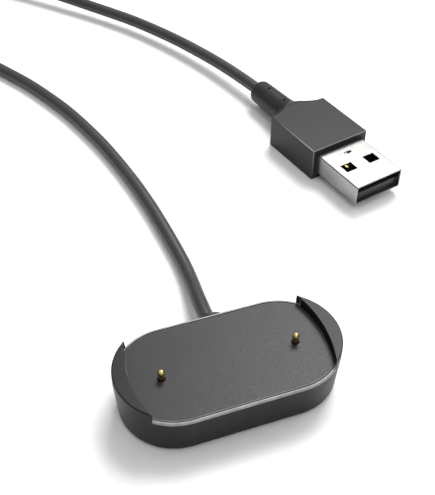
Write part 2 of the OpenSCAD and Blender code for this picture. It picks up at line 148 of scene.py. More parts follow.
# %% One smooth line through every point
def smooth_line(points, step):
    """A smooth curve through the points, with a point about every step."""
    line = []
    for i in range(len(points) - 1):
        a, b, c, d = (points[min(max(i + k, 0), len(points) - 1)] for k in (-1, 0, 1, 2))
        count = max(1, math.ceil((c - b).length / step))
        for k in range(count):
            t = k / count
            line.append(b + (c - a) * (t / 2) + (2 * a - 5 * b + 4 * c - d) * (t * t / 2)
                        + (3 * b - a - 3 * c + d) * (t * t * t / 2))
    return line + [points[-1]]


knots = [Vector(p) * MM for p in DOCK_RUN + coil_points() + PLUG_RUN[::-1]]
cable_line = smooth_line(knots, 1 * MM)

# %% [markdown]
# ## Node helpers
# Every finish and every Geometry Nodes tree is built from the same small step: make a node, set its
# properties, then fill its sockets with a number or with a link. One helper does that. Colours are
# written as the usual hex codes, and one function turns them into the linear values that light needs.


# %% The one node helper and the one colour helper
def add(tree, kind, sockets=None, **settings):
    """Adds a node. Each socket gets a value, or a link when it is given another node's output."""
    node = tree.nodes.new(kind)
    for name, value in settings.items():
        setattr(node, name, value)
    for key, value in (sockets or {}).items():
        if isinstance(value, bpy.types.NodeSocket):
            tree.links.new(value, node.inputs[key])
        else:
            node.inputs[key].default_value = value
    return node


def linear(code):
    """The linear colour of an sRGB hex code."""
    parts = [int(code[i:i + 2], 16) / 255 for i in (1, 3, 5)]
    return (*(c / 12.92 if c <= 0.04045 else ((c + 0.055) / 1.055) ** 2.4 for c in parts), 1)


# %% What every finish shares
def new_finish(name, **constants):
    """A material with one Principled shader, whose constants are set on its own sockets."""
    material = bpy.data.materials.new(name)
    material.use_nodes = True
    tree = material.node_tree
    tree.nodes.clear()
    shader = add(tree, "ShaderNodeBsdfPrincipled",
                 {key.replace("_", " "): value for key, value in constants.items()})
    add(tree, "ShaderNodeOutputMaterial", {"Surface": shader.outputs["BSDF"]})
    return material, tree, shader


def grain(tree, size, detail=2.0, aligned=None):
    """Noise whose grains are about size metres across, or three sizes along a turned piece."""
    place = add(tree, "ShaderNodeTexCoord").outputs["Object"]
    sizes = size if aligned is not None else (size, size, size)
    turned = add(tree, "ShaderNodeMapping", {"Vector": place, "Scale": sizes}, vector_type="TEXTURE")
    if aligned is not None:
        turned.inputs["Rotation"].default_value = aligned
    return add(tree, "ShaderNodeTexNoise",
               {"Vector": turned.outputs["Vector"], "Scale": 1.0, "Detail": detail}).outputs[0]


def between(tree, factor, low, high):
    """Turns a noise into values from low to high."""
    return add(tree, "ShaderNodeMapRange",
               {"Value": factor, "From Min": 0.3, "From Max": 0.7, "To Min": low, "To Max": high}
               ).outputs["Result"]


def tinted(tree, factor, dark, light):
    """Turns a noise into colours from dark to light."""
    spread = between(tree, factor, 0, 1)
    mix = add(tree, "ShaderNodeMix", {0: spread, 6: linear(dark), 7: linear(light)}, data_type="RGBA")
    return mix.outputs[2]


def bumped(tree, height, depth):
    """A bump whose full height is depth metres."""
    return add(tree, "ShaderNodeBump", {"Height": height, "Distance": depth, "Strength": 1.0}
               ).outputs["Normal"]


# %% [markdown]
# ## The plastics
# The dock and the plug are injection moulded. A mould for this kind of part is spark-eroded, which
# leaves tiny craters about a tenth of a millimetre across. They scatter the light, so a dark plastic
# looks soft grey where a bright sky is mirrored in it. We draw the craters two or three times
# coarser than life, because the real ones are too fine to see from here, and add a slow drift of
# tone such as any moulded wall has where the melt cooled unevenly. Each mesh carries a number that
# is 1 on its small roundings. There the finish turns shinier, as rubbed edges do, and its colour
# turns much paler: that paler colour is a painted highlight along the edges.


# %% Spark-eroded ABS blend and overmoulded vinyl
WORN_ROUGHNESS = 0.26
DRIFT_SIZE, EDGE_PATCH_SIZE = 7 * MM, 1.5 * MM


def moulded(name, dark, light, rough, crater, depth, gloss=0.5, wear_and_highlight_colour=None):
    """A mould-textured plastic: craters in the bump, slow drifts in tone and gloss, and on marked edges a
    worn lower roughness with a painted highlight in a paler colour.
    """
    material, tree, shader = new_finish(name, IOR=1.5, Specular_IOR_Level=gloss)
    drift = grain(tree, DRIFT_SIZE)
    pits = grain(tree, crater, 3.0)
    colour = tinted(tree, drift, dark, light)
    sheen = between(tree, pits, rough - 0.05, rough + 0.05)
    if wear_and_highlight_colour:
        # Marked edges get the lower roughness of rubbed plastic and a much paler colour, which is a
        # painted highlight.
        edge = add(tree, "ShaderNodeAttribute", attribute_name="edge").outputs["Fac"]
        edge_patches = between(tree, grain(tree, EDGE_PATCH_SIZE), 0.7, 1.0)
        wear_and_highlight = add(tree, "ShaderNodeMath", {0: edge, 1: edge_patches}, operation="MULTIPLY").outputs[0]
        colour = add(tree, "ShaderNodeMix", {0: wear_and_highlight, 6: colour, 7: linear(wear_and_highlight_colour)},
                     data_type="RGBA").outputs[2]
        sheen = add(tree, "ShaderNodeMix", {0: wear_and_highlight, 2: sheen, 3: WORN_ROUGHNESS}).outputs[0]
    tree.links.new(colour, shader.inputs["Base Color"])
    tree.links.new(sheen, shader.inputs["Roughness"])
    tree.links.new(bumped(tree, pits, depth), shader.inputs["Normal"])
    return material


# The last colour of each plastic is the paler one of its marked edges: a painted highlight on the small
# roundings.
abs_shell = moulded("abs_spark_eroded_shell", "#121212", "#161616", 0.42, 0.25 * MM, 0.005 * MM,
                    gloss=0.24, wear_and_highlight_colour="#a2a2a2")
abs_tray = moulded("abs_fine_matt_tray", "#262626", "#2a2a2a", 0.42, 0.2 * MM, 0.004 * MM,
                   gloss=0.26, wear_and_highlight_colour="#909090")
vinyl_grip = moulded("vinyl_overmould_grip", "#252525", "#292929", 0.44, 0.25 * MM, 0.005 * MM,
                     gloss=0.24, wear_and_highlight_colour="#b0b0b0")
vinyl_sleeve = moulded("vinyl_outlet_sleeve", "#202020", "#242424", 0.46, 0.25 * MM, 0.005 * MM,
                       gloss=0.26, wear_and_highlight_colour="#3a3a3a")
pbt_tongue = moulded("pbt_glass_filled_tongue", "#1d1d1f", "#262628", 0.42, 0.3 * MM, 0.004 * MM)
hot_melt_core = moulded("polyethylene_inner_mould", "#cfcabd", "#ddd9cd", 0.5, 0.8 * MM, 0.02 * MM)

# %% [markdown]
# ## The cable's jacket
# The jacket is thermoplastic elastomer, extruded over the wires. It has a silky gloss, faint lines
# along its length from the die, and small swellings where the twisted wires press from inside. The
# tube carries a distance along itself and an angle round itself, so that the lines follow every bend.


# %% Extruded elastomer
def extruded_jacket():
    material, tree, shader = new_finish("elastomer_extruded_jacket", IOR=1.5)
    along = add(tree, "ShaderNodeAttribute", attribute_name="along").outputs["Fac"]
    around = add(tree, "ShaderNodeAttribute", attribute_name="around").outputs["Fac"]
    lines_at = add(tree, "ShaderNodeCombineXYZ", {"X": along, "Y": around})
    stretched = add(tree, "ShaderNodeMapping", {"Vector": lines_at.outputs[0], "Scale": (60, 14, 1)})
    die_lines = add(tree, "ShaderNodeTexNoise",
                    {"Vector": stretched.outputs[0], "Scale": 1.0, "Detail": 3.0}).outputs[0]
    handling = grain(tree, 3 * MM)
    tree.links.new(tinted(tree, handling, "#2c2c2d", "#313132"), shader.inputs["Base Color"])
    tree.links.new(between(tree, die_lines, 0.38, 0.5), shader.inputs["Roughness"])
    tree.links.new(bumped(tree, die_lines, 0.01 * MM), shader.inputs["Normal"])
    return material


elastomer = extruded_jacket()

# %% [markdown]
# ## The metals
# The plug's shell is cold-rolled steel, drawn and nickel plated. Rolling leaves fine lines along the
# strip, and they stretch every reflection a little. The contacts are gold over nickel, which is
# smoother. Metals keep the shader's own index of refraction, and their colour is their reflection.


# %% Nickel over rolled steel, and the other plated parts
PLUG_TURN = math.radians(-77)


def rolled_nickel():
    material, tree, shader = new_finish("nickel_on_rolled_steel", Metallic=1.0)
    lines = grain(tree, (3 * MM, 0.12 * MM, 0.12 * MM), 3.0, (0, 0, PLUG_TURN))
    cloud = grain(tree, 4 * MM)
    tree.links.new(tinted(tree, cloud, "#989897", "#a4a4a2"), shader.inputs["Base Color"])
    tree.links.new(between(tree, lines, 0.27, 0.31), shader.inputs["Roughness"])
    tree.links.new(bumped(tree, lines, 0.00015 * MM), shader.inputs["Normal"])
    return material


def plated(name, dark, light, rough, size, depth):
    """A plated or bare metal with a fine grain of its own."""
    material, tree, shader = new_finish(name, Metallic=1.0)
    spots = grain(tree, size, 3.0)
    tree.links.new(tinted(tree, spots, dark, light), shader.inputs["Base Color"])
    tree.links.new(between(tree, spots, rough - 0.06, rough + 0.06), shader.inputs["Roughness"])
    tree.links.new(bumped(tree, spots, depth), shader.inputs["Normal"])
    return material


nickel_shell = rolled_nickel()
gold = plated("gold_on_nickel_contacts", "#c9ae62", "#e6d08c", 0.22, 0.15 * MM, 0.0006 * MM)
spring_steel = plated("spring_wire_music_steel", "#a9acb0", "#c4c7ca", 0.28, 0.1 * MM, 0.001 * MM)
zinc_screw = plated("zinc_plated_screw_steel", "#a8abb0", "#c9ccd0", 0.34, 0.2 * MM, 0.003 * MM)
magnet_nickel = plated("nickel_on_sintered_magnet", "#b4b5b6", "#cfd0d0", 0.26, 0.4 * MM, 0.003 * MM)
tin_solder = plated("tin_solder_fillet", "#b9bcc0", "#dadcde", 0.3, 0.25 * MM, 0.01 * MM)

# %% [markdown]
# ## The other finishes
# What is left is small and mostly hidden: the glass-epoxy board with its green mask over copper
# tracks, ceramic chip parts, wire insulation, the silicone foot and the woven hook-and-loop tie. Each
# still gets the structure that its material has, because the parts are also seen when the dock is
# taken apart.


# %% The board's mask over copper tracks
def board_laminate():
    material, tree, shader = new_finish("glass_epoxy_board_mask", IOR=1.5)
    place = add(tree, "ShaderNodeTexCoord").outputs["Object"]
    scaled = add(tree, "ShaderNodeMapping", {"Vector": place, "Scale": (2.4 * MM, 1.2 * MM, 1.2 * MM)},
                 vector_type="TEXTURE")
    tracks = add(tree, "ShaderNodeTexBrick",
                 {"Vector": scaled.outputs["Vector"], "Color1": linear("#1c5c37"),
                  "Color2": linear("#1f6a3f"), "Mortar": linear("#124327"), "Scale": 1.0,
                  "Mortar Size": 0.08, "Brick Width": 1.6, "Row Height": 0.8})
    weave = grain(tree, 0.3 * MM)
    tree.links.new(tracks.outputs["Color"], shader.inputs["Base Color"])
    tree.links.new(between(tree, weave, 0.24, 0.36), shader.inputs["Roughness"])
    tree.links.new(bumped(tree, tracks.outputs["Fac"], -0.03 * MM), shader.inputs["Normal"])
    return material


# %% Silicone, insulation, ceramic and the woven tie
def woven_tie():
    material, tree, shader = new_finish("nylon_hook_and_loop_tie", IOR=1.53, Sheen_Weight=0.3,
                                        Sheen_Roughness=0.5)
    place = add(tree, "ShaderNodeTexCoord").outputs["Object"]
    across = add(tree, "ShaderNodeTexWave", {"Vector": place, "Scale": 0.5 / (0.5 * MM),
                                             "Distortion": 1.5, "Detail": 2.0},
                 bands_direction="Y").outputs["Fac"]
    fuzz = grain(tree, 0.25 * MM, 4.0)
    height = add(tree, "ShaderNodeMath", {0: across, 1: fuzz}, operation="ADD").outputs[0]
    tree.links.new(tinted(tree, fuzz, "#1b1b1d", "#2c2c2f"), shader.inputs["Base Color"])
    tree.links.new(between(tree, fuzz, 0.75, 0.92), shader.inputs["Roughness"])
    tree.links.new(bumped(tree, height, 0.06 * MM), shader.inputs["Normal"])
    return material


laminate = board_laminate()
tie_nylon = woven_tie()
silicone = moulded("silicone_foot_pad", "#1e1e20", "#26262a", 0.68, 0.3 * MM, 0.01 * MM)
ceramic = moulded("ceramic_chip_part", "#9c8468", "#b59c7e", 0.4, 0.15 * MM, 0.004 * MM)
pvc_red = moulded("pvc_insulation_red", "#9c1e22", "#b3262a", 0.34, 0.4 * MM, 0.004 * MM)
pvc_black = moulded("pvc_insulation_black", "#17171a", "#202023", 0.34, 0.4 * MM, 0.004 * MM)

# %% [markdown]
# ## Mesh helpers
# Most of these parts are a row of closed rings, joined one to the next: a turned pin is rings round
# its axis, a plug's grip is rounded rectangles along its length, and the dock is its oval outline
# again and again at other insets and heights. So one loft function makes nearly everything. After it
# the doubled points are merged, the faces are turned outwards and edges sharper than a set angle
# stay crisp. Two more helpers look after the small roundings: one marks them for a worn finish with a
# painted highlight, the other keeps their shading off the flats beside them.


# %% From rings to a finished piece
DOUBLED = 0.0005 * MM


def loft(rings, closed=False):
    """Joins rings of points into a skin. A closed loft joins the last ring to the first."""
    mesh = bmesh.new()
    rows = [[mesh.verts.new(point) for point in ring] for ring in rings]
    pairs = list(zip(rows, rows[1:] + rows[:1])) if closed else list(zip(rows, rows[1:]))
    for low, high in pairs:
        for k in range(len(low)):
            n = (k + 1) % len(low)
            mesh.faces.new((low[k], low[n], high[n], high[k]))
    if not closed:
        mesh.faces.new(rows[0][::-1])
        mesh.faces.new(rows[-1])
    return mesh


def finish_piece(name, mesh, material, crease=32):
    """Cleans a bmesh, turns its faces outwards, and makes it an object with a finish."""
    bmesh.ops.remove_doubles(mesh, verts=mesh.verts, dist=DOUBLED)
    bmesh.ops.recalc_face_normals(mesh, faces=mesh.faces)
    data = bpy.data.meshes.new(name)
    mesh.to_mesh(data)
    mesh.free()
    return make_object(name, data, material, crease)


def make_object(name, data, material, crease=32):
    """An object at the origin, smooth except at edges sharper than the crease angle."""
    data.materials.clear()
    data.materials.append(material)
    data.shade_smooth()
    data.set_sharp_from_angle(angle=math.radians(crease))
    piece = bpy.data.objects.new(name, data)
    scene.collection.objects.link(piece)
    print(f"{name}: {len(data.polygons)} faces")
    return piece


# %% Arcs, turned shapes and cuts
def arc(centre, radius, start, end, steps):
    """Points along an arc in a flat section, from start to end degrees."""
    angles = [math.radians(start + (end - start) * k / steps) for k in range(steps + 1)]
    return [(centre[0] + radius * math.cos(a), centre[1] + radius * math.sin(a)) for a in angles]


def turned(profile, place, sides=48):
    """Rings round the local Z axis, one for each (radius, height) in millimetres, put in place."""
    angles = [2 * math.pi * k / sides for k in range(sides)]
    return [[place @ (Vector((r * math.cos(a), r * math.sin(a), z)) * MM) for a in angles]
            for r, z in profile]


def cut(piece, cutter_mesh):
    """Takes a closed cutter's volume out of a piece, and keeps the result as plain mesh."""
    data = bpy.data.meshes.new("cutter")
    bmesh.ops.recalc_face_normals(cutter_mesh, faces=cutter_mesh.faces)
    cutter_mesh.to_mesh(data)
    cutter_mesh.free()
    cutter = bpy.data.objects.new("cutter", data)
    scene.collection.objects.link(cutter)
    modifier = piece.modifiers.new("cut", "BOOLEAN")
    modifier.operation, modifier.solver, modifier.object = "DIFFERENCE", "EXACT", cutter
    bake_modifiers(piece)
    bpy.data.objects.remove(cutter)


def bake_modifiers(piece):
    """Turns a piece's modifiers into its plain mesh."""
    graph = bpy.context.evaluated_depsgraph_get()
    made = bpy.data.meshes.new_from_object(piece.evaluated_get(graph))
    piece.modifiers.clear()
    piece.data = made


def settle(piece, crease=32):
    """After cuts: merges doubled points and sets the creases again."""
    mesh = bmesh.new()
    mesh.from_mesh(piece.data)
    bmesh.ops.remove_doubles(mesh, verts=mesh.verts, dist=DOUBLED)
    mesh.to_mesh(piece.data)
    mesh.free()
    piece.data.shade_smooth()
    piece.data.set_sharp_from_angle(angle=math.radians(crease))


# %% Edge marks for wear and painted highlights, and even shading
SLIM = 0.25 * MM
ROUND_ENOUGH, LEAST_BEND = 1400, 0.15


def mark_edges(piece, where=lambda point: True):
    """Stores 1 on points inside small outward roundings in the chosen places, and 0 elsewhere."""
    mesh = bmesh.new()
    mesh.from_mesh(piece.data)
    slim = {face.index: 2 * face.calc_area() < SLIM * face.calc_perimeter() for face in mesh.faces}
    marks = []
    for point in mesh.verts:
        mark = 0.0
        if where(point.co) and all(slim[face.index] for face in point.link_faces):
            for edge in point.link_edges:
                if len(edge.link_faces) == 2:
                    a, b = (face.calc_center_median() for face in edge.link_faces)
                    bend = edge.calc_face_angle_signed(0.0)
                    mark = max(mark, float(bend > max(LEAST_BEND, ROUND_ENOUGH * (b - a).length)))
        marks.append(mark)
    mesh.free()
    piece.data.attributes.new("edge", "FLOAT", "POINT").data.foreach_set("value", marks)


def even_out(piece):
    """Lets large faces decide the shading, so that flats look flat and roundings stay tight."""
    weighted = piece.modifiers.new("even", "WEIGHTED_NORMAL")
    weighted.keep_sharp, weighted.weight, weighted.thresh = True, 100, 0.1
    bake_modifiers(piece)


def stand_for(piece, body, slot, *nodes):
    """Attaches a piece to its body and hides its CAD nodes; the slot is not used."""
    if "edge" not in piece.data.attributes:
        mark_edges(piece)
    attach(piece, body)
    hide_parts(*nodes)
    return piece


# %% [markdown]
# ## The cable's skin
# Geometry Nodes suit a tube that follows a path: the curve comes in, a circle is swept along it, and
# the two ends are capped. The tree also stores how far along and how far round each point is, for
# the jacket's finish. The result is turned into a plain mesh, and the modifier is taken off.


# %% A Geometry Nodes tree with named inputs
def new_tree(name, inputs):
    """A tree with a geometry input and output, and one float input for each name."""
    tree = bpy.data.node_groups.new(name, "GeometryNodeTree")
    tree.interface.new_socket("Geometry", in_out="INPUT", socket_type="NodeSocketGeometry")
    for label in inputs:
        tree.interface.new_socket(label, in_out="INPUT", socket_type="NodeSocketFloat")
    tree.interface.new_socket("Geometry", in_out="OUTPUT", socket_type="NodeSocketGeometry")
    return tree, add(tree, "NodeGroupInput").outputs


def close_tree(tree, geometry, material):
    """Ends a tree: real geometry, its finish, and the output."""
    real = add(tree, "GeometryNodeRealizeInstances", {"Geometry": geometry})
    painted = add(tree, "GeometryNodeSetMaterial",
                  {"Geometry": real.outputs[0], "Material": material})
    add(tree, "NodeGroupOutput", {"Geometry": painted.outputs[0]})


def grow(name, tree, sizes, material, start=None, crease=32):
    """Runs a tree with its inputs set by identifier, and keeps the result as a plain mesh."""
    source = bpy.data.objects.new(name + "_source", start or bpy.data.meshes.new(name + "_source"))
    scene.collection.objects.link(source)
    modifier = source.modifiers.new("grow", "NODES")
    modifier.node_group = tree
    for item in tree.interface.items_tree:
        if item.in_out == "INPUT" and item.name in sizes:
            modifier[item.identifier] = sizes[item.name]
    graph = bpy.context.evaluated_depsgraph_get()
    data = bpy.data.meshes.new_from_object(source.evaluated_get(graph))
    bpy.data.objects.remove(source)
    return make_object(name, data, material, crease)


# %% Sweep the cable
def cable_tree():
    tree, given = new_tree("swept_cable", ["Radius"])
    length = add(tree, "GeometryNodeSplineParameter").outputs["Length"]
    circle = add(tree, "GeometryNodeCurvePrimitiveCircle", {"Resolution": 20, "Radius": given["Radius"]})
    share = add(tree, "GeometryNodeSplineParameter").outputs["Factor"]
    path = add(tree, "GeometryNodeStoreNamedAttribute",
               {"Geometry": given["Geometry"], "Name": "along", "Value": length}, domain="POINT")
    ring = add(tree, "GeometryNodeStoreNamedAttribute",
               {"Geometry": circle.outputs["Curve"], "Name": "around", "Value": share}, domain="POINT")
    tube = add(tree, "GeometryNodeCurveToMesh",
               {"Curve": path.outputs[0], "Profile Curve": ring.outputs[0], "Fill Caps": True})
    close_tree(tree, tube.outputs[0], elastomer)
    return tree


def line_curve(name, points):
    """A curve object's data, straight from point to point."""
    data = bpy.data.curves.new(name, "CURVE")
    data.dimensions = "3D"
    spline = data.splines.new("POLY")
    spline.points.add(len(points) - 1)
    for slot, point in zip(spline.points, points):
        slot.co = (*point, 1)
    return data


cable = grow("cable", cable_tree(), {"Radius": CABLE_D / 2 * MM}, elastomer,
             line_curve("cable_path", cable_line), 60)
stand_for(cable, "dock", "cable_jacket", "cable_dock_run", "cable_coil", "cable_plug_run")

# %% [markdown]
# ## The dock's shell
# Seen from above the dock is a stadium: two half circles joined by straight sides. The lips' inner
# walls are two larger circles, so each lip is a crescent that runs out to a sharp point. A boolean
# would leave rough edges along those crescents. Instead we walk round the stadium and ask, at each
# point, how far in the lip's wall is. That number gives the upright section there, and the loft
# joins all the sections. A section has small arcs at every edge, because a moulded edge is never
# truly sharp and it is what catches the light. Guard points a hair away from the arcs keep the flats
# beside them looking flat.

# %% The dock's sizes, from the frame
shell_low, shell_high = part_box("base_shell")
tray_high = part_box("top_tray")[1]
pad_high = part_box("foot_pad")[1]
SIDE_R = shell_high.y / MM
END_X = shell_high.x / MM - SIDE_R
TOP_Z, UNDER_Z = shell_high.z / MM, shell_low.z / MM
DECK_Z = tray_high.z / MM
RIM_W = SIDE_R - tray_high.y / MM
PAD_INSET = SIDE_R - pad_high.y / MM
LIP_R, LIP_W = 23.6, 2.5
LIP_CENTRE = LIP_R - (END_X + SIDE_R - LIP_W)
DRAFT, FOOT_R, WALL, FLOOR_Z = 0.45, 0.8, 1.95, 1.5
LEDGE_Z, LEDGE_W = 6.1, 1.2
TRAY_GAP, RIM_GAP, PAD_GAP, PAD_RECESS = 0.08, 0.14, 0.05, 0.3
RIM_EDGE, LIP_EDGE, SMALL_EDGE, TRAY_EDGE, GUARD = 0.32, 0.2, 0.08, 0.16, 0.05
print(f"stadium of radius {SIDE_R:.1f} mm, ends at {END_X:.1f} mm, deck at {DECK_Z:.1f} mm")


# %% Walk round the stadium
END_STEPS, SIDE_STEPS = 144, 40
HALVINGS, HAIR = 40, 0.004


def stadium_walk():
    """Points on the outline and their outward directions, all round the dock."""
    stops = []
    for side in (1, -1):
        for k in range(END_STEPS + 1):
            angle = math.radians(-90 + 180 * k / END_STEPS)
            out = Vector((side * math.cos(angle), side * math.sin(angle)))
            stops.append((Vector((side * END_X, 0)) + SIDE_R * out, out))
        for k in range(1, SIDE_STEPS):
            along = side * END_X * (1 - 2 * k / SIDE_STEPS)
            stops.append((Vector((along, side * SIDE_R)), Vector((0, side))))
    return stops


def wall_inset(stop, radius):
    """How far in from the edge a circle of the lips lies; under 0 where it lies outside the edge."""
    place, out = stop
    centre = Vector((-math.copysign(LIP_CENTRE, place.x), 0))
    along = out.dot(place - centre)
    return along - math.sqrt(along ** 2 - (place - centre).length_squared + radius ** 2)


def add_lip_points(stops):
    """Puts a pair of stops, a hair apart, exactly where each lip runs out to its point."""
    done = []
    for a, b in zip(stops, stops[1:] + stops[:1]):
        done.append(a)
        if (wall_inset(a, LIP_R) > 0) != (wall_inset(b, LIP_R) > 0):
            low, high = 0.0, 1.0
            centre = Vector((math.copysign(END_X, a[0].x), 0))
            for _ in range(HALVINGS):
                middle = (low + high) / 2
                out = (a[1].lerp(b[1], middle)).normalized()
                stop = (centre + SIDE_R * out, out)
                if (wall_inset(stop, LIP_R) > 0) == (wall_inset(a, LIP_R) > 0):
                    low = middle
                else:
                    high = middle
            for share in (low - HAIR, low + HAIR):
                out = (a[1].lerp(b[1], share)).normalized()
                done.append((centre + SIDE_R * out, out))
    return done


walk = add_lip_points(stadium_walk())
print(f"{len(walk)} stops round the dock")


# %% The shell's section at one stop
EDGE_SHARE, GUARD_SHARE, WELL_SHARE = 0.45, 0.04, 0.9


def shell_section(stop):
    """(inset, height) pairs from under the foot, up the side, over the top and down to the floor."""
    lip = max(0, wall_inset(stop, LIP_R))
    rim = RIM_W - RIM_GAP
    foot = arc((DRAFT + FOOT_R, UNDER_Z + FOOT_R), FOOT_R, 270, 183, 6)
    side_low, side_high = UNDER_Z + FOOT_R, DECK_Z - RIM_EDGE
    slope = DRAFT / (side_high - side_low)
    recess = PAD_INSET - PAD_GAP
    section = [(recess, UNDER_Z + PAD_RECESS), (recess, UNDER_Z), *foot,
               (DRAFT - slope * 2 * GUARD, side_low + 2 * GUARD), (slope * GUARD, side_high - GUARD)]
    if lip > 0:
        edge = min(LIP_EDGE, EDGE_SHARE * lip)
        inner = min(SMALL_EDGE, EDGE_SHARE * lip)
        guard = min(GUARD, GUARD_SHARE * lip)
        section += [(0, side_high), (0, TOP_Z - edge - guard)]
        section += arc((edge, TOP_Z - edge), edge, 180, 90, 4)
        section += [(edge + guard, TOP_Z), (lip - inner - guard, TOP_Z)]
        section += arc((lip - inner, TOP_Z - inner), inner, 90, 0, 2) + [(lip, DECK_Z)]
    else:
        section += [(0, side_high)] * 2 + arc((RIM_EDGE, side_high), RIM_EDGE, 180, 90, 4)
        section += [(RIM_EDGE, DECK_Z)] * 6
    small = min(SMALL_EDGE, max(0, (rim - max(lip, RIM_EDGE)) * WELL_SHARE))
    well = max(rim, lip)
    if lip < rim:
        section += arc((rim - small, DECK_Z - small), small, 90, 0, 2)
    else:
        section += [(lip, DECK_Z)] * 3
    cavity = max(WALL, wall_inset(stop, LIP_R - LEDGE_W))
    return section + [(well, LEDGE_Z), (cavity, LEDGE_Z), (cavity, FLOOR_Z)]


def ring_sweep(section_at):
    """Turns a section for every stop into rings round the dock."""
    sections = [section_at(stop) for stop in walk]
    rings = []
    for j in range(len(sections[0])):
        ring = []
        for (place, out), section in zip(walk, sections):
            inset, height = section[j]
            flat = place - inset * out
            ring.append(Vector((flat.x, flat.y, height)) * MM)
        rings.append(ring)
    return rings


base = finish_piece("base_shell_moulding", loft(ring_sweep(shell_section)), abs_shell)

# %% The outlet hole at the back
exit_x, exit_z = CABLE_EXIT.x / MM, CABLE_EXIT.z / MM
outlet = Matrix.Translation(Vector((exit_x, 0, exit_z)) * MM) @ Matrix.Rotation(-math.pi / 2, 4, "X")
FOOT_SEAT, SLEEVE_FOOT_R, OUTLET_R = 0.3, 3.2, 1.86
SEAT_R = SLEEVE_FOOT_R + 0.05
PAST, HOLE_DEPTH = 1, 3
outlet_hole = [(OUTLET_R, SIDE_R - HOLE_DEPTH), (OUTLET_R, SIDE_R - FOOT_SEAT),
               (SEAT_R, SIDE_R - FOOT_SEAT), (SEAT_R, SIDE_R + PAST)]
cut(base, loft(turned(outlet_hole, outlet)))
settle(base)
# The lips' edges stay unmarked, so only the rim and the lower edges carry the painted highlight.
mark_edges(base, lambda point: point.z < (DECK_Z + GUARD) * MM)
stand_for(base, "dock", "shell_plastic", "base_shell")

# %% [markdown]
# ## The tray
# The tray closes the shell and is the deck that the tracker rests on. It follows the same walk, a
# little further in, and its rounded edge and the shell's rim leave the fine groove that runs round
# the deck. Two holes let the contact pins through. Their mouths are flared, as a moulded hole is.


# %% The tray's plate
def tray_section(stop):
    inset = max(RIM_W, wall_inset(stop, LIP_R - TRAY_GAP))
    top = arc((inset + TRAY_EDGE, DECK_Z - TRAY_EDGE), TRAY_EDGE, 180, 90, 4)
    return [(inset + SMALL_EDGE, LEDGE_Z), (inset, LEDGE_Z + SMALL_EDGE), *top]


tray = finish_piece("deck_tray_moulding", loft(ring_sweep(tray_section)), abs_tray)

# %% Holes for the pins
pin_low, pin_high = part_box("pin_plunger_right")
PIN_X, PIN_Y = ((low + high) / 2 / MM for low, high in
                ((pin_low.x, pin_high.x), (pin_low.y, pin_high.y)))
PIN_HOLE_R, PIN_MOUTH_R, PIN_MOUTH_L, SKIM = 0.66, 0.71, 0.05, 0.001
pin_hole = [(PIN_HOLE_R, LEDGE_Z - PAST), (PIN_HOLE_R, DECK_Z - PIN_MOUTH_L),
            (PIN_MOUTH_R, DECK_Z + SKIM), (PIN_MOUTH_R, DECK_Z + PAST)]
for side in (-1, 1):
    at_pin = Matrix.Translation(Vector((side * PIN_X, PIN_Y, 0)) * MM)
    cut(tray, loft(turned(pin_hole, at_pin)))
settle(tray)

# %% [markdown]
# Under the plate, two screw posts and two magnet pockets hang into the shell. They are plain
# moulded features that only show when the dock is open, so they are a few more rings each, joined
# to the plate as parts of the same piece.


# %% Posts and pockets under the tray
def box_ring(along, half_y, half_z, radius, steps=5, at=(0, 0)):
    """A rounded rectangle round the X axis, as points in millimetres."""
    points = []
    for corner, (sy, sz) in enumerate(((1, 1), (-1, 1), (-1, -1), (1, -1))):
        middle = (at[0] + sy * (half_y - radius), at[1] + sz * (half_z - radius))
        points += [Vector((along, y, z)) for y, z in
                   arc(middle, radius, 90 * corner, 90 * corner + 90, steps)]
    return points


def upright(rings):
    """Turns rings drawn round X so that they stand round Z, in metres."""
    return [[Vector((p.y, p.z, p.x)) * MM for p in ring] for ring in rings]


def join_into(piece, mesh):
    """Adds a closed bmesh to a piece's own mesh."""
    bmesh.ops.recalc_face_normals(mesh, faces=mesh.faces)
    extra = bpy.data.meshes.new("extra")
    mesh.to_mesh(extra)
    mesh.free()
    whole = bmesh.new()
    whole.from_mesh(piece.data)
    whole.from_mesh(extra)
    whole.to_mesh(piece.data)
    whole.free()


MAGNET_X = sum(c.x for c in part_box("magnet_right")) / 2 / MM
magnet_half = [(high - low) / 2 / MM for low, high in zip(*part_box("magnet_right"))]
SCREW_HEAD_R = 1
SCREW_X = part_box("board_screws")[1].x / MM - SCREW_HEAD_R
POST_R, POST_BORE_R, POST_FOOT_Z = 1.3, 0.5, 3
POCKET_FOOT_Z, POCKET_WALL, POCKET_GAP, POCKET_ROUND = 4.9, 0.5, 0.01, 0.2
UNDER_PLATE_Z = LEDGE_Z + 0.02
for side in (-1, 1):
    post = [(POST_R, POST_FOOT_Z), (POST_R, UNDER_PLATE_Z), (POST_BORE_R, UNDER_PLATE_Z),
            (POST_BORE_R, POST_FOOT_Z)]
    at_post = Matrix.Translation(Vector((side * SCREW_X, PIN_Y, 0)) * MM)
    join_into(tray, loft(turned(post, at_post, 24), closed=True))
    pocket = [box_ring(z, magnet_half[0] + wider, magnet_half[1] + wider, POCKET_ROUND + wider / 2,
                       at=(side * MAGNET_X, PIN_Y))
              for z, wider in ((POCKET_FOOT_Z, POCKET_WALL), (UNDER_PLATE_Z, POCKET_WALL),
                               (UNDER_PLATE_Z, POCKET_GAP), (POCKET_FOOT_Z, POCKET_GAP))]
    join_into(tray, loft(upright(pocket), closed=True))
settle(tray)
mark_edges(tray)
even_out(tray)
stand_for(tray, "dock", "tray_plastic", "top_tray")

# %% [markdown]
# ## The foot
# The dock stands on a silicone pad, so that it doesn't slide. A foot like this has a field of low
# dots moulded on it, which is a job for Geometry Nodes: two grids of points, one shifted by half a
# step each way, cut to the pad's outline, with one low dome on every point.


# %% The pad's dots
STEPS_ALONG, STEPS_ACROSS = 24, 12


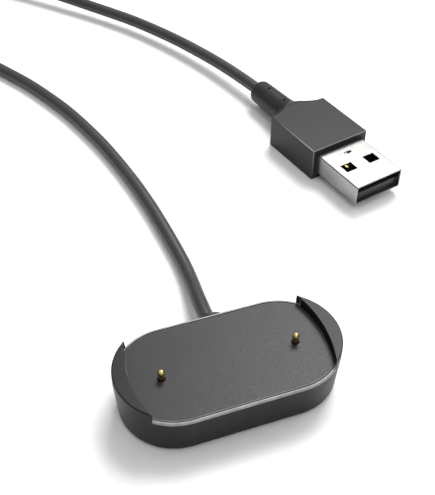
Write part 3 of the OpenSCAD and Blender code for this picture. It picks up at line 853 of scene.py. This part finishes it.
def dot_tree():
    tree, given = new_tree("pad_dots", ["Pitch", "Dot radius", "Dot height", "End x", "Field radius"])
    half = add(tree, "ShaderNodeMath", {0: given["Pitch"], 1: 0.5}, operation="MULTIPLY").outputs[0]
    shift = add(tree, "ShaderNodeCombineXYZ", {0: half, 1: half}).outputs[0]
    grids = []
    for _ in range(2):
        width, depth = (add(tree, "ShaderNodeMath", {0: given["Pitch"], 1: steps}, operation="MULTIPLY")
                        for steps in (STEPS_ALONG, STEPS_ACROSS))
        grids.append(add(tree, "GeometryNodeMeshGrid",
                         {"Size X": width.outputs[0], "Size Y": depth.outputs[0],
                          "Vertices X": STEPS_ALONG + 1, "Vertices Y": STEPS_ACROSS + 1}).outputs["Mesh"])
    moved = add(tree, "GeometryNodeTransform", {"Geometry": grids[1], "Translation": shift})
    both = add(tree, "GeometryNodeJoinGeometry", {"Geometry": grids[0]})
    tree.links.new(moved.outputs[0], both.inputs[0])
    place = add(tree, "ShaderNodeSeparateXYZ", {0: add(tree, "GeometryNodeInputPosition").outputs[0]})
    reach = add(tree, "ShaderNodeMath", {0: place.outputs[0]}, operation="ABSOLUTE").outputs[0]
    past = add(tree, "ShaderNodeMath", {0: reach, 1: given["End x"]}, operation="SUBTRACT").outputs[0]
    clear = add(tree, "ShaderNodeMath", {0: past, 1: 0.0}, operation="MAXIMUM").outputs[0]
    flat = add(tree, "ShaderNodeCombineXYZ", {0: clear, 1: place.outputs[1]}).outputs[0]
    away = add(tree, "ShaderNodeVectorMath", {0: flat}, operation="LENGTH").outputs["Value"]
    outside = add(tree, "FunctionNodeCompare", {0: away, 1: given["Field radius"]},
                  data_type="FLOAT", operation="GREATER_THAN").outputs[0]
    kept = add(tree, "GeometryNodeDeleteGeometry", {"Geometry": both.outputs[0], "Selection": outside})
    dome = add(tree, "GeometryNodeMeshUVSphere",
               {"Segments": 10, "Rings": 6, "Radius": given["Dot radius"]}).outputs["Mesh"]
    squeeze = add(tree, "ShaderNodeMath", {0: given["Dot height"], 1: given["Dot radius"]},
                  operation="DIVIDE").outputs[0]
    flatter = add(tree, "ShaderNodeCombineXYZ", {0: 1.0, 1: 1.0, 2: squeeze}).outputs[0]
    low_dome = add(tree, "GeometryNodeTransform", {"Geometry": dome, "Scale": flatter}).outputs[0]
    dots = add(tree, "GeometryNodeInstanceOnPoints",
               {"Points": kept.outputs[0], "Instance": low_dome}).outputs[0]
    close_tree(tree, dots, silicone)
    return tree


DOT_PITCH, DOT_R, DOT_H, FIELD_MARGIN = 1.5, 0.4, 0.12, 1
pad_r = pad_high.y / MM
dots = grow("pad_dots", dot_tree(),
            {"Pitch": DOT_PITCH * MM, "Dot radius": DOT_R * MM, "Dot height": DOT_H * MM,
             "End x": END_X * MM, "Field radius": (pad_r - FIELD_MARGIN) * MM}, silicone)
dots.data.transform(Matrix.Translation((0, 0, DOT_H * MM)))


# %% The pad's body
PAD_EDGE, PAD_TOP_EDGE = 0.3, 0.05


def pad_section(stop):
    top = pad_high.z / MM
    return [*arc((PAD_INSET + PAD_EDGE, DOT_H + PAD_EDGE), PAD_EDGE, 270, 180, 4),
            (PAD_INSET, top - PAD_TOP_EDGE), (PAD_INSET + PAD_TOP_EDGE, top)]


pad = finish_piece("foot_pad_moulding", loft(ring_sweep(pad_section)), silicone)
whole_pad = bmesh.new()
whole_pad.from_mesh(pad.data)
whole_pad.from_mesh(dots.data)
whole_pad.to_mesh(pad.data)
whole_pad.free()
bpy.data.objects.remove(dots)
settle(pad)
stand_for(pad, "dock", "pad_rubber", "foot_pad")

# %% [markdown]
# ## The outlet's sleeve
# Where the cable leaves, a short vinyl sleeve keeps it from kinking at the hard wall. It is turned:
# a flange holds it inside, a neck passes through the wall, and outside a wide foot sits on the wall
# and sweeps down to the cable. Turned parts are one profile, written as radius and height.

# %% Turn the sleeve
SLEEVE_END = CABLE_EXIT.y / MM
BORE = CABLE_D / 2 + 0.02
FLANGE_R, NECK_R, WAIST_R = 2.1, 1.83, 1.66
FLANGE_DEPTH, NECK_DEPTH = 2.75, 1.95
SWEEP_SHORT, TIP_IN, TIP_L = 0.15, 0.1, 0.03
SHOULDER_L, SHOULDER_R, SHOULDER_IN = 1.4, 0.55, 2.75
sweep_l = SLEEVE_END - SWEEP_SHORT - SIDE_R - SHOULDER_L
shoulder = arc((SLEEVE_FOOT_R - SHOULDER_R, SIDE_R + SHOULDER_L - SHOULDER_R), SHOULDER_R, 0, 75, 5)
sweep = [(SHOULDER_IN + (WAIST_R - SHOULDER_IN) * math.sin(math.radians(a)),
          SIDE_R + SHOULDER_L + sweep_l * (1 - math.cos(math.radians(a)))) for a in range(0, 91, 15)]
sleeve_profile = [(BORE, SIDE_R - FLANGE_DEPTH), (FLANGE_R, SIDE_R - FLANGE_DEPTH),
                  (FLANGE_R, SIDE_R - NECK_DEPTH), (NECK_R, SIDE_R - NECK_DEPTH),
                  (NECK_R, SIDE_R - FOOT_SEAT), (SLEEVE_FOOT_R, SIDE_R - FOOT_SEAT), *shoulder, *sweep,
                  (WAIST_R - 0.4 * TIP_IN, SLEEVE_END - TIP_L), (WAIST_R - TIP_IN, SLEEVE_END),
                  (BORE, SLEEVE_END)]
sleeve = finish_piece("outlet_sleeve_moulding", loft(turned(sleeve_profile, outlet), closed=True),
                      vinyl_sleeve, 40)
even_out(sleeve)
stand_for(sleeve, "dock", "shell_plastic", "outlet_sleeve")

# %% [markdown]
# ## The contact pins
# A spring contact is a gold-plated pin with a ball tip that slides in a barrel. The ball keeps the
# contact at one point, and a collar stops the pin from coming out. The springs are a helix, so a
# Geometry Nodes spiral makes them.

# %% Turn the two plungers
PIN_R, WAIST, COLLAR_R = 0.6, 0.52, (pin_high.x - pin_low.x) / 2 / MM
pin_top, pin_foot = pin_high.z / MM, pin_low.z / MM
BALL_Z = pin_top - PIN_R
COLLAR_T, COLLAR_EDGE = 0.4, 0.04
TAPER_FROM, TAPER_TO, WAIST_UNDER_BALL = 0.4, 0.3, 0.4
collar_top = pin_foot + COLLAR_T
plunger_profile = [(0, pin_foot), (COLLAR_R - COLLAR_EDGE, pin_foot),
                   (COLLAR_R, pin_foot + COLLAR_EDGE), (COLLAR_R, collar_top - COLLAR_EDGE),
                   (COLLAR_R - COLLAR_EDGE, collar_top), (PIN_R, collar_top),
                   (PIN_R, DECK_Z - TAPER_FROM), (WAIST, DECK_Z - TAPER_TO),
                   (WAIST, BALL_Z - WAIST_UNDER_BALL), *arc((0, BALL_Z), PIN_R, -28, 90, 14)]
for side, word in ((-1, "left"), (1, "right")):
    at_pin = Matrix.Translation(Vector((side * PIN_X, PIN_Y, 0)) * MM)
    plunger = finish_piece(f"contact_pin_{word}", loft(turned(plunger_profile, at_pin, 40)), gold)
    stand_for(plunger, f"{word}_pin", "gold", f"pin_plunger_{word}")


# %% Wind the two springs
def spring_tree():
    tree, given = new_tree("wound_spring", ["Turns", "Coil radius", "Height", "Wire radius"])
    spiral = add(tree, "GeometryNodeCurveSpiral",
                 {"Resolution": 24, "Rotations": given["Turns"], "Start Radius": given["Coil radius"],
                  "End Radius": given["Coil radius"], "Height": given["Height"]}).outputs[0]
    wire = add(tree, "GeometryNodeCurvePrimitiveCircle",
               {"Resolution": 10, "Radius": given["Wire radius"]}).outputs["Curve"]
    tube = add(tree, "GeometryNodeCurveToMesh",
               {"Curve": spiral, "Profile Curve": wire, "Fill Caps": True}).outputs[0]
    close_tree(tree, tube, spring_steel)
    return tree


spring_growth = spring_tree()
WIRE_R, SPRING_TURNS = 0.1 * MM, 4.0
for side, word in ((-1, "left"), (1, "right")):
    low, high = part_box(f"pin_spring_{word}")
    sizes = {"Turns": SPRING_TURNS, "Coil radius": (high.x - low.x) / 2 - WIRE_R,
             "Wire radius": WIRE_R, "Height": high.z - low.z - 2 * WIRE_R}
    spring = grow(f"pin_spring_{word}_wire", spring_growth, sizes, spring_steel, crease=60)
    spring.data.transform(Matrix.Translation((side * PIN_X * MM, PIN_Y * MM, low.z + WIRE_R)))
    stand_for(spring, "dock", "spring_steel", f"pin_spring_{word}")
    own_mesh(spring)

# %% [markdown]
# ## Copies with softened edges
# The board, its parts, the magnets, the barrels and the plug's inner pieces have the right shape in
# the CAD already, but their edges are razor sharp. We copy each node, merge its loose triangles,
# dissolve them back into whole faces, and let a small bevel round the edges.


# %% Soften a CAD node
SAME_FACE, EDGE_ANGLE = math.radians(0.5), math.radians(40)


def softened(name, node, material, body, slot, radius, crease=32):
    """A copy of a CAD node with its triangles merged and its edges rounded."""
    mesh = bmesh.new()
    mesh.from_mesh(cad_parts[node].data)
    bmesh.ops.remove_doubles(mesh, verts=mesh.verts, dist=DOUBLED)
    bmesh.ops.dissolve_limit(mesh, angle_limit=SAME_FACE, verts=mesh.verts, edges=mesh.edges)
    data = bpy.data.meshes.new(name)
    mesh.to_mesh(data)
    mesh.free()
    piece = make_object(name, data, material, crease)
    bevel = piece.modifiers.new("edge", "BEVEL")
    bevel.width, bevel.segments, bevel.limit_method = radius * MM, 2, "ANGLE"
    bevel.angle_limit = EDGE_ANGLE
    bake_modifiers(piece)
    settle(piece, crease)
    return stand_for(piece, body, slot, node)


# %% The dock's inner parts
INNER = [("board_with_tracks", "contact_board", laminate, "board_laminate", 0.05),
         ("board_chips", "board_parts", ceramic, "board_chip", 0.06),
         ("board_screw_pair", "board_screws", zinc_screw, "screw_steel", 0.04),
         ("barrel_left", "pin_barrel_left", gold, "gold", 0.03),
         ("barrel_right", "pin_barrel_right", gold, "gold", 0.03),
         ("magnet_left_block", "magnet_left", magnet_nickel, "magnet_nickel", 0.15),
         ("magnet_right_block", "magnet_right", magnet_nickel, "magnet_nickel", 0.15),
         ("solder_fillets", "pin_solder", tin_solder, "solder", 0.08),
         ("dock_wire_red", "dock_lead_red", pvc_red, "wire_red", 0.02),
         ("dock_wire_black", "dock_lead_black", pvc_black, "wire_black", 0.02)]
for name, node, material, slot, radius in INNER:
    softened(name, node, material, "dock", slot, radius)

# %% [markdown]
# ## The plug's grip
# The grip is vinyl moulded over the plug's core: a crisp block that sweeps in at the back and turns
# into the round strain relief. It is a loft of rounded rectangles along the plug. Through the sweep
# the width follows a curve a little more hollow than a quarter circle while the corners open, and
# the last half also eases down, until the ring is round. At the front the loft turns in and comes
# out again as a thin collar round the metal shell, where the soft vinyl seals on the steel.

# %% The plug's place and sizes
grip_low, grip_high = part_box("plug_grip")
PLUG_AT = Vector((43.5, 48.2, (grip_low.z + grip_high.z) / 2 / MM))
at_plug = Matrix.Translation(PLUG_AT * MM) @ Matrix.Rotation(PLUG_TURN, 4, "Z")
GRIP_L, GRIP_W, GRIP_H = 15.2, 14.4, (grip_high.z - grip_low.z) / MM
RELIEF_R, RELIEF_END_R, RELIEF_L = 2.95, 2.75, 11
SWEEP_R = GRIP_W / 2 - RELIEF_R
SWEEP_U, SWEEP_END_R, HOLLOW = -GRIP_L - SWEEP_R, RELIEF_R + 0.2, 0.72
SHELL_W, SHELL_H, SHELL_OUT, SHELL_IN, SHEET = 12, 4.5, 13, 5, 0.3
GRIP_EDGE, GRIP_DEPTH, SWEEP_STEPS, DROP_FROM = 0.2, 12.5, 24, 0.55
COLLAR_W, COLLAR_OUT, COLLAR_BEVEL, STEEL_CORNER, STEEL_GAP = 0.24, 0.3, 0.07, 0.3, 0.01


def plug_rings(rings):
    """Moves rings drawn round the plug's own axis into the frame."""
    return [[at_plug @ (point * MM) for point in ring] for ring in rings]


# %% Loft the grip
def smooth_step(share):
    """Eases from 0 to 1, with a level start and end."""
    share = min(max(share, 0), 1)
    return share * share * (3 - 2 * share)


def grip_rings():
    half_w, half_h, edge = GRIP_W / 2, GRIP_H / 2, GRIP_EDGE
    rings = [box_ring(SWEEP_U, BORE, BORE, BORE)]
    for k in range(SWEEP_STEPS, -1, -1):
        angle = math.radians(90 * k / SWEEP_STEPS)
        run = 1 - math.cos(angle)
        drop = smooth_step((run - DROP_FROM) / (1 - DROP_FROM))
        corner = edge + (SWEEP_END_R - edge) * smooth_step(run)
        rings.append(box_ring(SWEEP_U + SWEEP_R * math.cos(angle) ** HOLLOW,
                              half_w - (half_w - SWEEP_END_R) * math.sin(angle) ** HOLLOW,
                              half_h - (half_h - SWEEP_END_R) * drop, corner))
    for y, x in arc((-edge, -edge), edge, 22.5, 90, 3):
        rings.append(box_ring(x, half_w + y, half_h + y, max(edge + y, GRIP_EDGE / 4)))
    for x, margin in ((0, COLLAR_W), (COLLAR_OUT - COLLAR_BEVEL, COLLAR_W),
                      (COLLAR_OUT, COLLAR_W - COLLAR_BEVEL)):
        rings.append(box_ring(x, SHELL_W / 2 + margin, SHELL_H / 2 + margin, STEEL_CORNER + margin))
    for x in (COLLAR_OUT, -GRIP_DEPTH):
        rings.append(box_ring(x, SHELL_W / 2 + STEEL_GAP, SHELL_H / 2 + STEEL_GAP, STEEL_CORNER))
    rings.append(box_ring(-GRIP_DEPTH, BORE, BORE, BORE))
    return plug_rings(rings)


def on_front_top_edge(point):
    """True on the grip's upper front edge, the one edge of the grip that gets the painted highlight."""
    return point.z > (GRIP_H - 2 * GRIP_EDGE) * MM and (at_plug.inverted() @ point).x > -0.5 * MM


grip = finish_piece("plug_grip_moulding", loft(grip_rings(), closed=True), vinyl_grip, 30)
mark_edges(grip, on_front_top_edge)
even_out(grip)
stand_for(grip, "dock", "grip_plastic", "plug_grip")

# %% Turn the strain relief, and notch it
along_plug = at_plug @ Matrix.Rotation(-math.pi / 2, 4, "Y")
END_ROUND = 1.3
FLARE = ((SWEEP_END_R - RELIEF_R, 0), (0.1, 0.6), (0.03, 1.4), (0, 2.4))
relief_profile = [(BORE, -SWEEP_U), *((RELIEF_R + wider, -SWEEP_U + back) for wider, back in FLARE),
                  *arc((RELIEF_END_R - END_ROUND, -SWEEP_U + RELIEF_L - END_ROUND), END_ROUND, 0, 90, 8),
                  (BORE, -SWEEP_U + RELIEF_L)]
relief = finish_piece("plug_relief_moulding", loft(turned(relief_profile, along_plug), closed=True),
                      vinyl_grip, 50)
NOTCH_TURN = math.radians(2)
NOTCH_FIRST, NOTCH_PITCH = 0.6, 6
NOTCH_HALF_L, NOTCH_HALF_W, NOTCH_HALF_H, NOTCH_ROUND = 0.32, 0.28, 0.7, 0.1
for back_by in (NOTCH_FIRST, NOTCH_FIRST + NOTCH_PITCH):
    for turn in (0, math.pi):
        notch = [box_ring(x, NOTCH_HALF_W, NOTCH_HALF_H, NOTCH_ROUND, 2)
                 for x in (-NOTCH_HALF_L, NOTCH_HALF_L)]
        spot = at_plug @ Matrix.Translation(Vector((SWEEP_U - back_by, 0, 0)) * MM) \
            @ Matrix.Rotation(NOTCH_TURN + turn, 4, "X") @ Matrix.Translation((0, 0, RELIEF_R * MM))
        cut(relief, loft([[spot @ (point * MM) for point in ring] for ring in notch]))
settle(relief, 50)
stand_for(relief, "dock", "grip_plastic", "plug_relief")

# %% [markdown]
# ## The plug's shell
# The shell is one strip of sheet folded into a box tube. The standard fixes its size, and the two
# windows in each wide face take the socket's springs. A small dent near the grip locks it to the
# core, and the fold closes in a fine seam underneath.


# %% Fold the shell
FOLD_R, FOLD_INNER_R, NOSE_EDGE, MOUTH_EDGE = 0.4, 0.12, 0.12, 0.06


def shell_rings():
    half_w, half_h = SHELL_W / 2, SHELL_H / 2
    rings = [box_ring(-SHELL_IN, half_w, half_h, FOLD_R)]
    for y, x in arc((-NOSE_EDGE, -NOSE_EDGE), NOSE_EDGE, 0, 90, 3):
        rings.append(box_ring(SHELL_OUT + x, half_w + y, half_h + y, FOLD_R + y))
    for x, inset in ((0, SHEET - MOUTH_EDGE), (-MOUTH_EDGE, SHEET)):
        rings.append(box_ring(SHELL_OUT + x, half_w - inset, half_h - inset, FOLD_INNER_R))
    rings.append(box_ring(-SHELL_IN, half_w - SHEET, half_h - SHEET, FOLD_INNER_R))
    return plug_rings(rings)


def plug_block(x, y, z, size, radius=0.05):
    """A closed block in the plug's place, to cut with."""
    half = [s / 2 for s in size]
    rings = [box_ring(x + side * half[0], half[1], half[2], radius, 2, (y, z)) for side in (-1, 1)]
    return loft(plug_rings(rings))


WINDOW_BACK, WINDOW_Y, WINDOW = 6.35, 3, (2.5, 2.8, 6)
SEAM_X, SEAM, SEAM_ROUND = 4, (20, 0.06, 1), 0.01
shell = finish_piece("plug_shell_sheet", loft(shell_rings(), closed=True), nickel_shell, 40)
for y in (-WINDOW_Y, WINDOW_Y):
    cut(shell, plug_block(SHELL_OUT - WINDOW_BACK, y, 0, WINDOW))
cut(shell, plug_block(SEAM_X, 0, -SHELL_H / 2, SEAM, SEAM_ROUND))

# %% Press the locking dent, with its pierced end
DENT_X = 2.45
HOLLOWED, PIERCED = (0.1, (0.42, 0.95, 0.26)), (0.5, (0.36, 0.6, 1))
for face in (-1, 1):
    dent = turned([(0, -1), *[(math.sin(math.radians(a)), -math.cos(math.radians(a)))
                              for a in range(20, 180, 20)], (0, 1)], Matrix.Identity(4), 20)
    for y, size in (HOLLOWED, PIERCED):
        spot = at_plug @ Matrix.Translation(Vector((DENT_X, y, face * SHELL_H / 2)) * MM) \
            @ Matrix.Diagonal((*size, 1))
        cut(shell, loft([[spot @ point for point in ring] for ring in dent]))
settle(shell, 40)
even_out(shell)
stand_for(shell, "dock", "shell_nickel", "plug_shell")

# %% The plug's inner parts
PLUG_PARTS = [("plug_tongue_moulding", "plug_tongue", pbt_tongue, "tongue_plastic", 0.12),
              ("plug_core_moulding", "plug_core", hot_melt_core, "core_plastic", 0.15),
              ("plug_contact_power", "contact_power", gold, "gold", 0.04),
              ("plug_contact_data_minus", "contact_data_minus", gold, "gold", 0.04),
              ("plug_contact_data_plus", "contact_data_plus", gold, "gold", 0.04),
              ("plug_contact_ground", "contact_ground", gold, "gold", 0.04),
              ("plug_wire_red", "plug_lead_red", pvc_red, "wire_red", 0.02),
              ("plug_wire_black", "plug_lead_black", pvc_black, "wire_black", 0.02)]
plug_pieces = [softened(name, node, material, "dock", slot, radius)
               for name, node, material, slot, radius in PLUG_PARTS]

# %% [markdown]
# ## The coil's tie
# A woven strap with hook and loop holds the turns together. It is a flat band bent round the bundle,
# so we loft its small section round a rounded rectangle, and lay its free end over the start.

# %% Bend the tie round the turns
tie_low, tie_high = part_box("coil_tie")
tie_mid = (tie_low + tie_high) / 2 / MM
TIE_HALF_X, TIE_HALF_Z = (tie_high.x - tie_low.x) / 2 / MM, (tie_high.z - tie_low.z) / 2 / MM
TIE_W, TIE_T, TIE_ROUND, TIE_EDGE = (tie_high.y - tie_low.y) / MM, 0.5, 2.2, 0.12
FLAP_T, FLAP_NARROWER, FLAP_FROM, FLAP_TO = 0.45, 0.8, 4, 14


def band_rings(half_x, half_z, width, thick, start=0, stop=None):
    """Sections of a flat band, one for each point of a rounded rectangle."""
    outer = box_ring(0, half_x, half_z, TIE_ROUND, 8)
    inner = box_ring(0, half_x - thick, half_z - thick, TIE_ROUND - thick, 8)
    end, flat_end = width / 2, width / 2 - TIE_EDGE
    rings = []
    for far, near in list(zip(outer, inner))[start:stop]:
        middle, half = (far + near) / 2, (far - near) / 2
        section = []
        for y, share in ((-end, -0.5), (-flat_end, -1), (flat_end, -1), (end, -0.5),
                         (end, 0.5), (flat_end, 1), (-flat_end, 1), (-end, 0.5)):
            flat = middle + share * half
            section.append(Vector((tie_mid.x + flat.y, tie_mid.y + y, tie_mid.z + flat.z)) * MM)
        rings.append(section)
    return rings


tie = finish_piece("coil_tie_band", loft(band_rings(TIE_HALF_X, TIE_HALF_Z, TIE_W, TIE_T), closed=True),
                   tie_nylon, 40)
join_into(tie, loft(band_rings(TIE_HALF_X + FLAP_T, TIE_HALF_Z + FLAP_T, TIE_W - FLAP_NARROWER,
                               FLAP_T, FLAP_FROM, FLAP_TO)))
settle(tie, 40)
stand_for(tie, "dock", "tie_strap", "coil_tie")

# %% [markdown]

# %% [markdown]
# ## Floor and light
# The set is a plain white sweep. A soft light high behind the dock, to the right, is mirrored in the
# upward faces and lets them read lighter than the sides. A second one at the right throws the soft
# shadows to the left, and a small one in front catches the rounded edges. A pale sky fills
# the rest, dimmer at the horizon so that the sides stay dark. The plain colour transform keeps the
# floor a clean white.

# %% The floor
scene.view_settings.view_transform = "Standard"
FLOOR_HALF = 1.5
floor_mesh = bmesh.new()
bmesh.ops.create_grid(floor_mesh, x_segments=1, y_segments=1, size=FLOOR_HALF)
floor_data = bpy.data.meshes.new("floor")
floor_mesh.to_mesh(floor_data)
floor_mesh.free()


def white_sweep():
    material, tree, shader = new_finish("matt_white_sweep", Specular_IOR_Level=0.1, Roughness=0.9)
    paper = grain(tree, 2 * MM)
    tree.links.new(tinted(tree, paper, "#fafafa", "#fcfcfc"), shader.inputs["Base Color"])
    return material


floor = make_object("floor", floor_data, white_sweep())
floor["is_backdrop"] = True


# %% The sky and the softboxes
def studio_sky(low, high):
    """A pale sky that brightens from the horizon to overhead."""
    world = bpy.data.worlds.new("studio")
    scene.world = world
    world.use_nodes = True
    tree = world.node_tree
    tree.nodes.clear()
    up = add(tree, "ShaderNodeSeparateXYZ", {0: add(tree, "ShaderNodeTexCoord").outputs["Generated"]})
    level = add(tree, "ShaderNodeMapRange", {"Value": up.outputs[2], "From Min": 0.0, "From Max": 0.8,
                                             "To Min": low, "To Max": high})
    sky = add(tree, "ShaderNodeBackground", {"Color": (1, 1, 1, 1), "Strength": level.outputs[0]})
    add(tree, "ShaderNodeOutputWorld", {"Surface": sky.outputs[0]})


LIGHT_DISTANCE = 0.8
SET_MIDDLE = Vector((10, 30, 0)) * MM


def softbox(name, azimuth, height, size, power):
    """A square area light that faces the middle of the set, from two angles."""
    light_data = bpy.data.lights.new(name, "AREA")
    light_data.shape, light_data.size, light_data.energy = "SQUARE", size, power
    a, e = math.radians(azimuth), math.radians(height)
    aim = Vector((math.sin(a) * math.cos(e), -math.cos(a) * math.cos(e), math.sin(e)))
    light = bpy.data.objects.new(name, light_data)
    scene.collection.objects.link(light)
    light.location = SET_MIDDLE + aim * LIGHT_DISTANCE
    light.rotation_mode = "QUATERNION"
    light.rotation_quaternion = aim.to_track_quat("Z", "Y")


studio_sky(0.03, 0.75)
softbox("sheen", azimuth=140, height=54, size=0.35, power=5.3)
softbox("key", azimuth=108, height=52, size=0.5, power=1.2)
softbox("glint", azimuth=5, height=52, size=0.12, power=0.5)

# %% [markdown]
# ## The finished box
# The last cell prints the finished model's box in millimetres.

# %% Print the finished box
low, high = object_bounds()
print("finished box in mm:", [round(x / MM, 1) for x in (*low, *high)])
